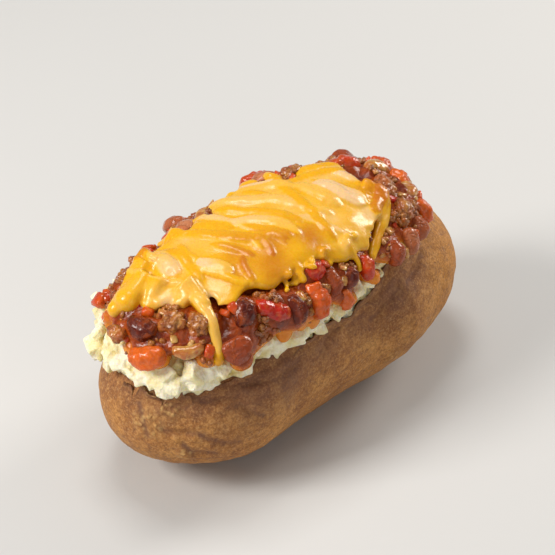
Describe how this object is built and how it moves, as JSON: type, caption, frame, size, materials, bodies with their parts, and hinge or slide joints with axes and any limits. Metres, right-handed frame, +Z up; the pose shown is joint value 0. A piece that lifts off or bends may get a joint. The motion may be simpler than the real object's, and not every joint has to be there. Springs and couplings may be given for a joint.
{
  "type": "baked potato",
  "caption": "Baked potato slit open, its crumbled flesh heaped with chunky tomato and bean chili under a sheet of melted cheese that runs down in drips.",
  "frame": {"origin": "middle of the small flat spot under the potato, on the surface it rests on", "axes": "+X along the potato towards its plainer end, +Z up, -Y the side with the longest cheese drip"},
  "size_m": [0.1508, 0.0727, 0.0777],
  "materials": {
    "skin": "dry, matte, mottled tan and brown skin with fine dark specks",
    "flesh": "crumbly pale yellow-white cooked flesh, soft and slightly see-through",
    "chili": "wet red-brown sauce with fine meat in it",
    "cheese": "glossy melted cheese, golden with paler bands, slightly see-through",
    "bean": "dark red-brown, smooth and wet",
    "tomato": "bright red, wet and slightly see-through",
    "mince": "brown, grainy and wet with fat",
    "onion": "soft cooked onion, yellow-tan and wet"
  },
  "bodies": {
    "root": {"potato": "skin", "flesh": "flesh", "chili": "chili", "cheese": "cheese", "bean_01": "bean", "bean_02": "bean", "bean_03": "bean", "bean_04": "bean", "bean_05": "bean", "bean_06": "bean", "bean_07": "bean", "bean_08": "bean", "bean_09": "bean", "bean_10": "bean", "bean_11": "bean", "bean_12": "bean", "bean_13": "bean", "tomato_01": "tomato", "tomato_02": "tomato", "tomato_03": "tomato", "tomato_04": "tomato", "tomato_05": "tomato", "tomato_06": "tomato", "tomato_07": "tomato", "tomato_08": "tomato", "tomato_09": "tomato", "tomato_10": "tomato", "tomato_11": "tomato", "tomato_12": "tomato", "mince_01": "mince", "mince_02": "mince", "mince_03": "mince", "mince_04": "mince", "mince_05": "mince", "mince_06": "mince", "mince_07": "mince", "onion_01": "onion", "onion_02": "onion", "onion_03": "onion", "onion_04": "onion"}
  },
  "joints": []
}
